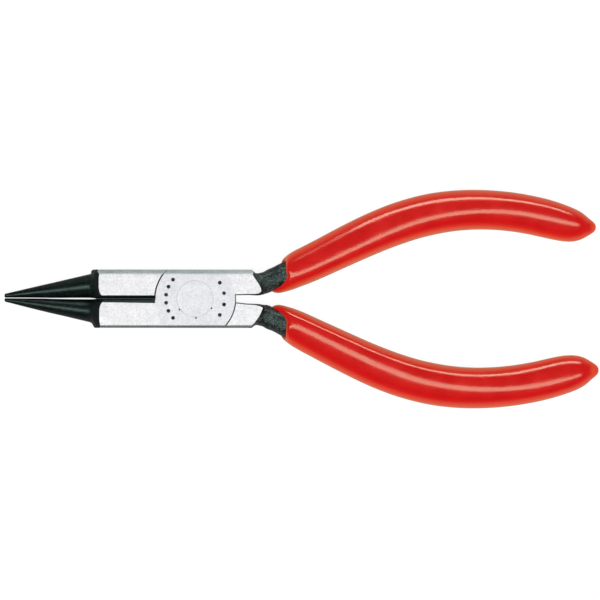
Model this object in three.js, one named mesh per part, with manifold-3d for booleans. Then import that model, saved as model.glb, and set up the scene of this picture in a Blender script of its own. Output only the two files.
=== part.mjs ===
// Round nose pliers with a flush-riveted lap joint and dip-coated handles.
//
// Units are millimetres, +Z is up.  The origin is on the pivot axis, in the rear joint face.
//   +X  from the pivot towards the handles (the jaws point along -X)
//   +Y  towards the handle of the front half
//   +Z  from the rear joint face to the front joint face
//
// Both forged halves have the same shape: the rear one is the front one turned half a turn about
// the tool's long axis, at half the joint's thickness.  Each half is built about z = 0 here and
// is then raised by half the joint's thickness.  The tool is closed, with its jaws together.

import * as THREE from 'three';
import { mergeVertices } from 'three/addons/utils/BufferGeometryUtils.js';
import Module from 'manifold-3d';

// ---------------------------------------------------------------- driving dimensions

const T = 9.0;                 // joint thickness, rear face to front face
const H = T / 2;
const HEAD_HALF_WIDTH = 6.38;  // the head is a ground bar 12.8 wide
const EDGE_BREAK_WIDE = 1.0;   // chamfer on two diagonally opposite long edges of the head
const EDGE_BREAK_NARROW = 0.6; // and on the other two
const PLATE_X0 = -21.2;        // where the straight jaw plate ends and the jaw's root begins

const DISC_R = 8.88;           // half-thickness joint disc
const RECESS_R = 8.96;         // recess that the other half's disc turns in
const LAP_GAP = 0.1;           // running gap between the two discs
const SEAM = 0.06;             // half of the seam between the closed jaw plates
const GROOVE = 0.72;           // chamfer on each plate's inner edge: together a V groove

const RIVET_R = 3.95;
const RIVET_HOLE_R = 4.0;
const RIVET_SIDES = 64;

const TIP_X = -41.78;          // jaw tips
const JAW_ROOT_X = -23.3;      // large end of the straight cone
const JAW_OUTER_AT_ROOT = 5.24;
const JAW_OUTER_SLOPE = 0.2365;
const JAW_SLIT_TIP = 0.1;      // half of the slit between the cones, at the tip
const JAW_SLIT_ROOT = 0.2;     // and at the root
const JAW_SIDES = 24;

const SECTION_SIDES = 24;      // sides of a tang or grip section
const CAVITY_GAP = 0.15;       // between a tang and the inside of its grip
const LIP = 0.22;              // thickness of the grip's rim

// Handle centre line of the front half: [x, y].
const HANDLE_PATH = [
  [9.6, 3.42], [12.6, 3.46], [14.2, 3.6], [15.25, 3.86], [16.4, 4.2], [17.85, 4.66], [19.65, 5.4],
  [21.05, 6.06], [22.5, 6.734], [25, 7.854], [27.5, 9.05], [30, 10.276], [32.5, 11.503], [35, 12.704],
  [37.5, 13.854], [40, 14.932], [42.5, 15.921], [45, 16.803], [47.5, 17.57], [50, 18.211], [52.5, 18.722],
  [55, 19.104], [57.5, 19.358], [60, 19.489], [62.5, 19.505], [65, 19.41], [67.5, 19.212], [70, 18.912],
  [72.5, 18.51], [75, 18.003], [77.5, 17.4], [80, 16.76], [82.5, 16.2], [84.5, 15.9], [86.5, 15.74], [88.6, 15.7],
];

// Tang: [x on the centre line, half width in the XY plane, half thickness along Z].
const TANG = [
  [9.6, 2.2, 3.55], [12.6, 2.25, 3.8], [14.2, 2.25, 3.65], [15.25, 2.3, 3.53], [16.4, 2.38, 3.5],
  [17.85, 2.5, 3.5], [19.65, 2.65, 3.5], [22.5, 2.92, 3.52], [27.5, 3.08, 3.55], [32.5, 3.27, 3.55],
  [37.5, 3.43, 3.55], [42.5, 3.54, 3.55], [47.5, 3.58, 3.55], [55, 3.51, 3.52], [62.5, 3.39, 3.45],
  [70, 3.31, 3.35], [76, 3.18, 3.15], [79, 2.95, 2.9], [81.3, 2.5, 2.45], [83, 1.75, 1.75], [84, 0.95, 0.95],
];

// Grip outside, past its rim: [x on the centre line, half width, half thickness].
const GRIP = [
  [15.8, 3.2, 4.2], [17.1, 3.38, 4.32], [18.5, 3.5, 4.4], [19.7, 3.67, 4.45], [21.4, 3.83, 4.48], [22.5, 3.92, 4.49],
  [25, 4.04, 4.5], [30, 4.23, 4.5], [35, 4.405, 4.5], [40, 4.54, 4.5], [45, 4.616, 4.5], [50, 4.62, 4.5],
  [55, 4.563, 4.5], [60, 4.48, 4.46], [65, 4.41, 4.4], [70, 4.365, 4.3], [75, 4.32, 4.17], [78, 4.27, 4.06],
  [80.2, 4.14, 3.93], [80.9, 4.08, 3.86], [81.54, 3.99, 3.76], [82.2, 3.88, 3.65], [82.85, 3.75, 3.52], [83.5, 3.56, 3.33],
  [84.17, 3.305, 3.09], [84.82, 2.99, 2.79], [85.48, 2.57, 2.39], [86.14, 2.08, 1.93], [86.8, 1.62, 1.5], [87.2, 1.31, 1.24],
  [87.5, 1.06, 1.0], [87.75, 0.75, 0.7], [87.9, 0.43, 0.4],
];
const GRIP_END_X = 87.96;
// The two grips differ a little: how much further back each one's tail reaches, and how much
// wider it is over its rear half, as a share.
const GRIP_REACH = { front: -0.32, rear: 0.32 };
const GRIP_STOUT = { front: -0.017, rear: 0.018 };
const GRIP_POWER = 2.2;
// How far the grip's crest runs off its centre line, towards the outer side, as a share of the half width.
const CREST = [[16, -0.2], [26, -0.215], [32, -0.215], [40, -0.18], [50, -0.11], [58, -0.04], [66, 0.035], [74, 0.105], [80, 0.14], [84, 0.1], [88, 0]];
const MOUTH_X = 20.0;          // the rim on the front and back faces
// How far the rim moves along the handle, by angle round the section: 0 degrees is the outer side,
// 90 the front or back face, 180 the inner side, where the coating runs on along the neck.
const MOUTH_SHIFT = [[0, -0.3], [15, -0.1], [30, 0.4], [45, 0.6], [60, 0.5], [75, 0.28], [90, 0], [105, -0.55], [120, -1.25], [135, -2.05], [150, -2.95], [165, -3.7], [180, -4.0]];
const MOUTH_FADE = 8;          // length over which that shift dies out along the grip
const COAT_RISE_INNER = 0.35;  // how quickly the coating thickens behind its rim
const COAT_RISE_OUTER = 0.7;

// ---------------------------------------------------------------- small numeric helpers

// Natural cubic spline through [x, y] pairs: returns value and slope at x.
function cubicSpline(points) {
  const n = points.length;
  const x = points.map((p) => p[0]);
  const y = points.map((p) => p[1]);
  const m = new Array(n).fill(0);
  const u = new Array(n).fill(0);
  for (let i = 1; i < n - 1; i++) {
    const sig = (x[i] - x[i - 1]) / (x[i + 1] - x[i - 1]);
    const p = sig * m[i - 1] + 2;
    m[i] = (sig - 1) / p;
    const d = (y[i + 1] - y[i]) / (x[i + 1] - x[i]) - (y[i] - y[i - 1]) / (x[i] - x[i - 1]);
    u[i] = (6 * d / (x[i + 1] - x[i - 1]) - sig * u[i - 1]) / p;
  }
  for (let i = n - 2; i >= 0; i--) m[i] = m[i] * m[i + 1] + u[i];
  return (t) => {
    let lo = 0;
    let hi = n - 1;
    while (hi - lo > 1) {
      const k = (lo + hi) >> 1;
      if (x[k] > t) hi = k; else lo = k;
    }
    const h = x[hi] - x[lo];
    const a = (x[hi] - t) / h;
    const b = (t - x[lo]) / h;
    const value = a * y[lo] + b * y[hi] + ((a ** 3 - a) * m[lo] + (b ** 3 - b) * m[hi]) * h * h / 6;
    const slope = (y[hi] - y[lo]) / h + ((1 - 3 * a * a) * m[lo] + (3 * b * b - 1) * m[hi]) * h / 6;
    return [value, slope];
  };
}

// Linear table look-up on the first column.
function lookUp(table, x, column) {
  if (x <= table[0][0]) return table[0][column];
  for (let i = 1; i < table.length; i++) {
    if (x <= table[i][0]) {
      const t = (x - table[i - 1][0]) / (table[i][0] - table[i - 1][0]);
      return table[i - 1][column] * (1 - t) + table[i][column] * t;
    }
  }
  return table[table.length - 1][column];
}

const handleY = cubicSpline(HANDLE_PATH);

// Frame of the handle at x: centre, and the unit normal in the XY plane (towards the outer side).
function handleFrame(x) {
  const [y, slope] = handleY(x);
  const l = Math.hypot(1, slope);
  return { x, y, nx: -slope / l, ny: 1 / l };
}

// Point of a superellipse of half axes a, b.
function superellipse(angle, a, b, power) {
  const c = Math.cos(angle);
  const s = Math.sin(angle);
  return [
    a * Math.sign(c) * Math.abs(c) ** (2 / power),
    b * Math.sign(s) * Math.abs(s) ** (2 / power),
  ];
}

// ---------------------------------------------------------------- solids

const wasm = await Module();
wasm.setup();

// Keeps only positions, merges the shared vertices and drops collapsed triangles.
function weld(geometry) {
  const g = geometry.clone();
  g.deleteAttribute('normal');
  g.deleteAttribute('uv');
  const merged = mergeVertices(g, 1e-4);
  const source = merged.index.array;
  const kept = [];
  for (let i = 0; i < source.length; i += 3) {
    const [a, b, c] = [source[i], source[i + 1], source[i + 2]];
    if (a !== b && b !== c && a !== c) kept.push(a, b, c);
  }
  merged.setIndex(kept);
  return merged;
}

function signedVolume(geometry) {
  const p = geometry.attributes.position;
  const idx = geometry.index.array;
  const a = new THREE.Vector3();
  const b = new THREE.Vector3();
  const c = new THREE.Vector3();
  let v = 0;
  for (let i = 0; i < idx.length; i += 3) {
    a.fromBufferAttribute(p, idx[i]);
    b.fromBufferAttribute(p, idx[i + 1]);
    c.fromBufferAttribute(p, idx[i + 2]);
    v += a.dot(b.cross(c)) / 6;
  }
  return v;
}

function outward(geometry) {
  if (signedVolume(geometry) < 0) {
    const idx = geometry.index.array;
    for (let i = 0; i < idx.length; i += 3) [idx[i + 1], idx[i + 2]] = [idx[i + 2], idx[i + 1]];
  }
  return geometry;
}

// A closed loft.  A sphere grid supplies the topology: its poles become the two end points and
// its rows the sections.  point(row, angle) gives each section's outline.
function loft(rows, sides, point, startPole, endPole) {
  const sphere = new THREE.SphereGeometry(1, sides, rows + 1);
  const p = sphere.attributes.position;
  for (let row = 0; row <= rows + 1; row++) {
    for (let i = 0; i <= sides; i++) {
      const angle = ((i % sides) / sides) * Math.PI * 2;
      const v = row === 0 ? startPole : row === rows + 1 ? endPole : point(row - 1, angle);
      p.setXYZ(row * (sides + 1) + i, v[0], v[1], v[2]);
    }
  }
  return outward(weld(sphere));
}

function toSolid(geometry) {
  const g = outward(weld(geometry));
  return new wasm.Manifold(new wasm.Mesh({
    numProp: 3,
    vertProperties: Float32Array.from(g.attributes.position.array),
    triVerts: Uint32Array.from(g.index.array),
  }));
}

function toGeometry(solid) {
  const mesh = solid.getMesh();
  const g = new THREE.BufferGeometry();
  g.setAttribute('position', new THREE.BufferAttribute(Float32Array.from(mesh.vertProperties), 3));
  g.setIndex(Array.from(mesh.triVerts));
  g.computeVertexNormals();
  return g;
}

// A vertical prism over an XY outline, from z0 to z1.
function prism(outline, z0, z1) {
  const shape = new THREE.Shape(outline.map(([x, y]) => new THREE.Vector2(x, y)));
  const g = new THREE.ExtrudeGeometry(shape, { depth: z1 - z0, bevelEnabled: false });
  g.translate(0, 0, z0);
  return g;
}

// A bar along X over a YZ outline, from x0 to x1.
function bar(outline, x0, x1) {
  const shape = new THREE.Shape(outline.map(([y, z]) => new THREE.Vector2(y, z)));
  const g = new THREE.ExtrudeGeometry(shape, { depth: x1 - x0, bevelEnabled: false });
  g.applyMatrix4(new THREE.Matrix4().set(0, 0, 1, x0, 1, 0, 0, 0, 0, 1, 0, 0, 0, 0, 0, 1));
  return g;
}

function pivotCylinder(radius, z0, z1, sides) {
  const g = new THREE.CylinderGeometry(radius, radius, z1 - z0, sides);
  g.rotateX(Math.PI / 2);
  g.translate(0, 0, (z0 + z1) / 2);
  return g;
}

// ---------------------------------------------------------------- forged half

// The jaw: a slim cone whose inner line runs along the tool, with a flared root.
// Rows are [x, outer |y|, inner |y|, half thickness, section power].
function jawRows() {
  const outer = (x) => JAW_OUTER_AT_ROOT + JAW_OUTER_SLOPE * (x - JAW_ROOT_X);
  const inner = (x) => JAW_SLIT_ROOT + (JAW_SLIT_ROOT - JAW_SLIT_TIP) * (x - JAW_ROOT_X) / (JAW_ROOT_X - TIP_X);
  const rows = [];
  const cone = (x, scale = 1) => {
    const o = outer(x);
    const i = inner(x);
    const c = (o + i) / 2;
    const r = (o - i) / 2;
    rows.push([x, c + r * scale, c - r * scale, r * scale, 2]);
  };
  cone(TIP_X, 0.4);
  cone(TIP_X + 0.13, 0.82);
  cone(TIP_X + 0.4);
  for (const x of [-38.5, -34.5, -30.5, -26.5, -24.2]) cone(x);
  rows.push([JAW_ROOT_X, 5.27, 0.2, 2.54, 2.05]);
  rows.push([-22.8, 5.47, 0.2, 2.76, 2.2]);
  rows.push([-22.5, 5.75, 0.19, 2.96, 2.5]);
  rows.push([-22.25, 6.13, 0.17, 3.17, 2.85]);
  rows.push([-22.0, 6.33, 0.14, 3.42, 3.2]);
  rows.push([-21.7, 6.365, 0.1, 3.74, 3.7]);
  rows.push([-21.35, 6.37, SEAM, 4.08, 4.4]);
  rows.push([-20.9, 6.37, SEAM, 4.4, 6]);
  rows.push([-19.5, 6.37, SEAM, H - 0.02, 7]);
  return rows;
}

function jaw() {
  const rows = jawRows();
  const last = rows[rows.length - 1];
  const mid = (r) => -(r[1] + r[2]) / 2;
  return loft(rows.length, JAW_SIDES, (i, angle) => {
    const [x, outer, inner, hz, power] = rows[i];
    const [dy, dz] = superellipse(angle, (outer - inner) / 2, hz, power);
    return [x, mid(rows[i]) - dy, dz];
  }, [TIP_X, mid(rows[0]), 0], [last[0], mid(last), 0]);
}

const TANG_ROWS = [9.6, 12.6, 14.2, 15.25, 16.4, 17.85, 19.65, 22.5, 26, 30, 34, 38, 42, 46, 50, 54, 58, 62, 66, 70, 74, 77.5, 80, 82, 83.2, 84];
const sectionPower = (x) => (x < 20 ? 2.9 - 0.03 * (x - 9.6) : 2.5);

function tang() {
  const start = handleFrame(9.6);
  const end = handleFrame(84.25);
  return loft(TANG_ROWS.length, SECTION_SIDES, (i, angle) => {
    const x = TANG_ROWS[i];
    const f = handleFrame(x);
    const [a, b] = superellipse(angle, lookUp(TANG, x, 1), lookUp(TANG, x, 2), sectionPower(x));
    return [f.x + f.nx * a, f.y + f.ny * a, b];
  }, [start.x, start.y, 0], [end.x, end.y, 0]);
}

// The short slope between the ground head and the thinner, unground neck.
function neckShoulder() {
  const rows = [[12.3, 3.35, 24, 2.3, H - 0.01, 7], [13.45, 3.62, 29, 2.36, H - 0.01, 7], [14.0, 3.72, 28, 2.2, 4.15, 4], [14.75, 3.86, 25, 2.05, 3.55, 3]];
  const at = (r, a, b) => {
    const t = THREE.MathUtils.degToRad(r[2]);
    return [r[0] - Math.sin(t) * a, r[1] + Math.cos(t) * a, b];
  };
  return loft(rows.length, SECTION_SIDES, (i, angle) => {
    const [a, b] = superellipse(angle, rows[i][3], rows[i][4], rows[i][5]);
    return at(rows[i], a, b);
  }, at(rows[0], 0, 0), at(rows[3], 0, 0));
}

function forgedHalf() {
  const w = HEAD_HALF_WIDTH;
  const e = EDGE_BREAK_WIDE;
  const n = EDGE_BREAK_NARROW;
  const headBar = toSolid(bar([
    [-w, -H + e], [-w + e, -H], [w - n, -H], [w, -H + n],
    [w, H - e], [w - e, H], [-w + n, H], [-w, H - n],
  ], PLATE_X0, 16));

  // The full-thickness areas: the jaw plate on one side, the neck on the other.
  const plate = toSolid(prism([[-30, -10], [2, -10], [2, -SEAM], [-30, -SEAM]], -H - 1, H + 1));
  const neck = toSolid(prism([
    [0, 0.5], [8.6, 0.78], [10.9, 0.97], [13.4, 1.16], [14.75, 1.34], [12.62, 5.45], [12.15, 6.3], [12.1, 9], [0, 9],
  ], -H - 1, H + 1));
  const disc = toSolid(pivotCylinder(DISC_R, LAP_GAP / 2, H + 1, 96));
  const recess = toSolid(pivotCylinder(RECESS_R, -H - 1, LAP_GAP / 2, 96));
  const hole = toSolid(pivotCylinder(RIVET_HOLE_R, -H - 2, H + 2, RIVET_SIDES));

  // Chamfer along the plate's inner edge, front and back, from the jaw's root to the joint disc.
  const groove = (side) => toSolid(bar([
    [-SEAM - GROOVE, side * H], [-SEAM - GROOVE, side * (H + 1)], [1, side * (H + 1)],
    [1, side * (H - GROOVE)], [-SEAM, side * (H - GROOVE)],
  ], -22, -RECESS_R));

  const head = headBar.intersect(plate.add(neck).add(disc));
  const forging = head.add(toSolid(jaw())).add(toSolid(neckShoulder())).add(toSolid(tang()));
  return toGeometry(forging.subtract(recess).subtract(groove(1)).subtract(groove(-1)).subtract(hole));
}

// ---------------------------------------------------------------- dip-coated grip

function mouthShift(angle) {
  const degrees = THREE.MathUtils.radToDeg(Math.acos(Math.min(1, Math.max(-1, Math.cos(angle)))));
  return lookUp(MOUTH_SHIFT, degrees, 1);
}

// One closed skin: from the tail's end along the outside to the rim, then back along the cavity.
const GRIP_OUTSIDE = [
  87.9, 87.75, 87.5, 87.2, 86.8, 86.14, 85.48, 84.82, 84.17, 83.5, 82.85, 82.2, 81.2, 80.2, 78, 75, 71, 67, 63, 59, 55, 51,
  47, 43, 39, 35, 31, 27.5, 24.5, 22.5, 21.2, 20.5, 20.15, MOUTH_X,
];
const GRIP_CAVITY = [MOUTH_X, 21, 22.5, 26, 30, 34, 38, 42, 46, 50, 54, 58, 62, 66, 70, 74, 77.5, 80, 82, 83.2, 84];

const smoothRamp = (x, from, to) => {
  const t = Math.min(1, Math.max(0, (x - from) / (to - from)));
  return t * t * (3 - 2 * t);
};

function grip(which) {
  const reach = GRIP_REACH[which];
  const stout = GRIP_STOUT[which];
  const rows = GRIP_OUTSIDE.length + GRIP_CAVITY.length;
  const end = handleFrame(GRIP_END_X);
  const inside = handleFrame(84.5);
  return loft(rows, SECTION_SIDES, (i, angle) => {
    const outside = i < GRIP_OUTSIDE.length;
    const station = outside ? GRIP_OUTSIDE[i] : GRIP_CAVITY[i - GRIP_OUTSIDE.length];
    const fade = Math.max(0, 1 - (station - MOUTH_X) / MOUTH_FADE) ** 2;
    const x = station + mouthShift(angle) * fade;
    const f = handleFrame(x);
    let hw = lookUp(TANG, x, 1) + CAVITY_GAP;
    let hz = lookUp(TANG, x, 2) + CAVITY_GAP;
    let power = sectionPower(x);
    let crest = 0;
    if (outside) {
      const c = Math.cos(angle);
      const rise = c < 0 ? COAT_RISE_INNER : COAT_RISE_INNER + (COAT_RISE_OUTER - COAT_RISE_INNER) * c * c;
      const k = Math.max(0, 1 - Math.exp(-(station - MOUTH_X) / rise));
      const blend = 1 - Math.exp(-(station - MOUTH_X) / 0.8);
      hw += LIP + (lookUp(GRIP, x, 1) * (1 + stout * smoothRamp(x, 42, 66)) - hw - LIP) * k;
      hz += LIP + (lookUp(GRIP, x, 2) - hz - LIP) * k;
      power += (GRIP_POWER - power) * blend;
      if (station > 80) power -= (GRIP_POWER - 2) * Math.min(1, (station - 80) / 6);
      crest = lookUp(CREST, x, 1) * hw * blend;
    }
    let [a, b] = superellipse(angle, hw, hz, power);
    a += crest * (1 - (a / hw) ** 2) * Math.abs(b) / hz;
    const back = outside ? reach * smoothRamp(x, 64, 80) : 0;
    return [f.x + back + f.nx * a, f.y + f.ny * a, b];
  }, [end.x + reach, end.y, 0], [inside.x, inside.y, 0]);
}

// ---------------------------------------------------------------- assembly

function named(name, geometry, color, roughness, metalness) {
  const mesh = new THREE.Mesh(geometry, new THREE.MeshStandardMaterial({ color, roughness, metalness }));
  mesh.name = name;
  return mesh;
}

const forging = forgedHalf();

const pliers = new THREE.Group();

const frontHalf = new THREE.Group();
frontHalf.position.z = H;
frontHalf.add(named('front_half', forging, 0x9a9da0, 0.35, 1.0));
frontHalf.add(named('front_grip', grip('front'), 0xd2191c, 0.3, 0.0));

const rearHalf = new THREE.Group();
rearHalf.position.z = H;
rearHalf.rotation.x = Math.PI;
rearHalf.add(named('rear_half', forging.clone(), 0x9a9da0, 0.35, 1.0));
rearHalf.add(named('rear_grip', grip('rear'), 0xd2191c, 0.3, 0.0));

const rivet = named('rivet', weld(pivotCylinder(RIVET_R, 0, T, RIVET_SIDES)), 0xb4b6b8, 0.35, 1.0);

pliers.add(rearHalf, rivet, frontHalf);

export default pliers;
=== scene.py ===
import math

import bpy
import numpy as np
from mathutils import Matrix, Vector, noise


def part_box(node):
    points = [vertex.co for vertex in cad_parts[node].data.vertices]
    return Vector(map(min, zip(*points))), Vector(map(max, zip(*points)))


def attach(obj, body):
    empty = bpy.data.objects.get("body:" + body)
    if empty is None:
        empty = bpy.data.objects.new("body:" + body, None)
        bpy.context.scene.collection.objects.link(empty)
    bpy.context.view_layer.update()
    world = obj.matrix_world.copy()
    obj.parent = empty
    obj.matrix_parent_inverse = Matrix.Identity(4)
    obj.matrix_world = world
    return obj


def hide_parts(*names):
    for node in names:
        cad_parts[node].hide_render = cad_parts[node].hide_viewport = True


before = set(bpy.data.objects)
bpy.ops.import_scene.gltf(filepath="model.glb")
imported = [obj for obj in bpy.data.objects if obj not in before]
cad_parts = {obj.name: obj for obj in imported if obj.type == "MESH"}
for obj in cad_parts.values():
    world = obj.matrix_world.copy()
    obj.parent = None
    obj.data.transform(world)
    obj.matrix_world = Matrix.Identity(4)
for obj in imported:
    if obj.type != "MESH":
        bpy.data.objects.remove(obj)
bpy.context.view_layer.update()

# Round nose pliers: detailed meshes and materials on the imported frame.
# All shapes are worked out in millimetres about the tool's mid-plane and are stored in metres.

MM = 0.001
rivet_lo, rivet_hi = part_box("rivet")
T = (rivet_hi.z - rivet_lo.z) / MM          # joint thickness
H = T / 2
MID = Vector((0, 0, (rivet_hi.z + rivet_lo.z) / 2))
RIVET_R = (rivet_hi.x - rivet_lo.x) / 2 / MM

HEAD_HALF_WIDTH = 6.38
EDGE_WIDE = 1.0
EDGE_NARROW = 0.6
DISC_R = 8.78
RECESS_R = 8.85
DISC_OFF = 0.08        # the finished disc sits a hair towards the handles
RECESS_OFF = 0.06
LAP_GAP = 0.1
SEAM = 0.005
GROOVE = 0.74
TIP_X = -41.78
JAW_ROOT_X = -23.3
# outer line of each cone from the pivot's centre line, as (x, distance); the two were ground by hand
CONE_OUTER = {
    "rear": [(-41.8, 0.91), (-40.9, 1.11), (-33.5, 2.875), (-29.1, 3.95), (-24.4, 5.06)],
    "front": [(-41.8, 0.81), (-40.9, 1.02), (-37.85, 1.79), (-33.5, 2.84), (-29.1, 3.79), (-24.4, 4.885)],
}
SLIT = [(-41.8, 0.06), (-38.3, 0.07), (-33.5, 0.07), (-31.3, 0.09), (-29.1, 0.11), (-26.9, 0.14), (-24.4, 0.15)]
# the jaws and handles are a little bent, both to the same side: (x, sideways shift in +Y)
BEND = [
    (-41.8, 0.15), (-38.3, 0.138), (-33.5, 0.107), (-31.3, 0.063), (-29.1, 0.044), (-26.9, 0.035), (-23.0, 0.03), (-21.7, 0.0),
    (0.0, 0.0), (12.0, 0.0), (20.0, -0.1), (36.0, -0.1), (45.0, -0.03), (55.0, 0.03), (65.0, 0.05), (75.0, 0.1),
    (80.0, 0.14), (89.0, 0.18),
]

HANDLE_PATH = [
    (9.6, 3.42), (12.6, 3.46), (14.2, 3.6), (15.25, 3.86), (16.4, 4.2), (17.85, 4.66), (19.65, 5.4),
    (21.05, 6.06), (22.5, 6.734), (25, 7.854), (27.5, 9.05), (30, 10.276), (32.5, 11.503), (35, 12.704),
    (37.5, 13.854), (40, 14.932), (42.5, 15.921), (45, 16.803), (47.5, 17.57), (50, 18.211), (52.5, 18.722),
    (55, 19.104), (57.5, 19.358), (60, 19.489), (62.5, 19.505), (65, 19.41), (67.5, 19.212), (70, 18.912),
    (72.5, 18.51), (75, 18.003), (77.5, 17.4), (80, 16.76), (82.5, 16.2), (84.5, 15.9), (86.5, 15.74), (88.6, 15.7),
]
TANG = [
    (9.6, 2.2, 3.55), (12.6, 2.25, 3.8), (14.2, 2.25, 3.65), (15.25, 2.3, 3.53), (16.4, 2.38, 3.5),
    (17.85, 2.5, 3.5), (19.65, 2.65, 3.5), (22.5, 2.92, 3.52), (27.5, 3.08, 3.55), (32.5, 3.27, 3.55),
    (37.5, 3.43, 3.55), (42.5, 3.54, 3.55), (47.5, 3.58, 3.55), (55, 3.51, 3.52), (62.5, 3.39, 3.45),
    (70, 3.31, 3.35), (76, 3.18, 3.15), (79, 2.95, 2.9), (81.3, 2.5, 2.45), (83, 1.75, 1.75), (84, 0.95, 0.95),
]
GRIP = [
    (15.8, 3.2, 4.2), (17.1, 3.38, 4.32), (18.5, 3.5, 4.4), (19.7, 3.67, 4.45), (21.4, 3.83, 4.48), (22.5, 3.92, 4.49),
    (25, 4.04, 4.5), (30, 4.23, 4.5), (35, 4.405, 4.5), (40, 4.54, 4.5), (45, 4.616, 4.5), (50, 4.62, 4.5),
    (55, 4.563, 4.5), (60, 4.48, 4.46), (65, 4.41, 4.4), (70, 4.365, 4.3), (75, 4.32, 4.17), (78, 4.27, 4.06),
    (80.2, 4.14, 3.93), (80.9, 4.08, 3.86), (81.54, 3.99, 3.76), (82.2, 3.88, 3.65), (82.85, 3.75, 3.52), (83.5, 3.56, 3.33),
    (84.17, 3.305, 3.09), (84.82, 2.99, 2.79), (85.48, 2.57, 2.39), (86.14, 2.08, 1.93), (86.8, 1.62, 1.5),
    (87.2, 1.31, 1.24), (87.5, 1.06, 1.0), (87.75, 0.75, 0.7), (87.9, 0.43, 0.4),
]
GRIP_END_X = 87.96
# the two grips differ a little: the rear one is slightly stouter and reaches further back
GRIP_REACH = {"front": -0.32, "rear": 0.32}
GRIP_STOUT = {"front": -0.017, "rear": 0.018}
MOUTH_X = 20.0
MOUTH_SHIFT = [
    (0, -0.3), (15, -0.1), (30, 0.4), (45, 0.6), (60, 0.5), (75, 0.28), (90, 0), (105, -0.55), (120, -1.25),
    (135, -2.05), (150, -2.95), (165, -3.7), (180, -4.0),
]
# towards the front face the outer side is cut back further
MOUTH_SHIFT_FACE = [
    (0, 0.9), (15, 0.9), (30, 0.85), (45, 0.75), (60, 0.55), (75, 0.28), (90, 0), (105, -0.55), (120, -1.25),
    (135, -2.05), (150, -2.95), (165, -3.7), (180, -4.0),
]
MOUTH_FADE = 8.0
GRIP_POWER = 2.2
# how far the grip's crest runs off its centre line, towards the outer side, as a share of the half width
CREST = [(16, -0.2), (26, -0.215), (32, -0.215), (40, -0.18), (50, -0.11), (58, -0.04), (66, 0.035), (74, 0.105), (80, 0.14), (84, 0.1), (88, 0)]


# ------------------------------------------------------------------ numeric helpers

def pchip(xs, ys):
    """Monotone cubic through the points; returns a function of an array."""
    x = np.asarray(xs, float)
    y = np.asarray(ys, float)
    h = np.diff(x)
    d = np.diff(y) / h
    m = np.zeros(len(x))
    for i in range(1, len(x) - 1):
        if d[i - 1] * d[i] > 0:
            w1, w2 = 2 * h[i] + h[i - 1], h[i] + 2 * h[i - 1]
            m[i] = (w1 + w2) / (w1 / d[i - 1] + w2 / d[i])
    m[0], m[-1] = d[0], d[-1]

    def f(t):
        t = np.clip(np.asarray(t, float), x[0], x[-1])
        i = np.clip(np.searchsorted(x, t, side="right") - 1, 0, len(x) - 2)
        s = (t - x[i]) / h[i]
        return (
            y[i] * (1 + 2 * s) * (1 - s) ** 2 + m[i] * h[i] * s * (1 - s) ** 2
            + y[i + 1] * s * s * (3 - 2 * s) + m[i + 1] * h[i] * s * s * (s - 1)
        )
    return f


def natural_cubic(points):
    x = np.array([p[0] for p in points], float)
    y = np.array([p[1] for p in points], float)
    n = len(x)
    a = np.zeros((n, n))
    b = np.zeros(n)
    a[0, 0] = a[-1, -1] = 1
    for i in range(1, n - 1):
        h0, h1 = x[i] - x[i - 1], x[i + 1] - x[i]
        a[i, i - 1:i + 2] = h0, 2 * (h0 + h1), h1
        b[i] = 6 * ((y[i + 1] - y[i]) / h1 - (y[i] - y[i - 1]) / h0)
    m = np.linalg.solve(a, b)

    def f(t):
        t = np.asarray(t, float)
        i = np.clip(np.searchsorted(x, t, side="right") - 1, 0, n - 2)
        h = x[i + 1] - x[i]
        p = (x[i + 1] - t) / h
        q = (t - x[i]) / h
        v = p * y[i] + q * y[i + 1] + ((p ** 3 - p) * m[i] + (q ** 3 - q) * m[i + 1]) * h * h / 6
        s = (y[i + 1] - y[i]) / h + ((1 - 3 * p * p) * m[i] + (3 * q * q - 1) * m[i + 1]) * h / 6
        return v, s
    return f


handle_y = natural_cubic(HANDLE_PATH)
tang_w = pchip([r[0] for r in TANG], [r[1] for r in TANG])
tang_z = pchip([r[0] for r in TANG], [r[2] for r in TANG])
grip_w = pchip([r[0] for r in GRIP], [r[1] for r in GRIP])
grip_z = pchip([r[0] for r in GRIP], [r[2] for r in GRIP])
crest = pchip([r[0] for r in CREST], [r[1] for r in CREST])
mouth_shift = pchip([r[0] for r in MOUTH_SHIFT], [r[1] for r in MOUTH_SHIFT])
mouth_shift_face = pchip([r[0] for r in MOUTH_SHIFT_FACE], [r[1] for r in MOUTH_SHIFT_FACE])


def superellipse(angle, a, b, power):
    c, s = np.cos(angle), np.sin(angle)
    e = 2.0 / power
    return a * np.sign(c) * np.abs(c) ** e, b * np.sign(s) * np.abs(s) ** e


def wobble(points, scale, seed):
    """Smooth noise, about -1 to 1, one value per point (points in mm)."""
    off = Vector((seed * 17.3, seed * 5.1, seed * 9.7))
    return np.array([noise.noise(Vector(p) * scale + off) for p in points]) * 1.6


# ------------------------------------------------------------------ mesh helpers

def new_object(name, verts, faces, slots=(), face_slot=None):
    mesh = bpy.data.meshes.new(name)
    mesh.from_pydata([tuple(map(float, v)) for v in verts], [], faces)
    for m in slots:
        mesh.materials.append(m)
    if face_slot is not None:
        mesh.polygons.foreach_set("material_index", np.asarray(face_slot, np.int32))
    mesh.validate()
    obj = bpy.data.objects.new(name, mesh)
    bpy.context.scene.collection.objects.link(obj)
    return obj


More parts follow.
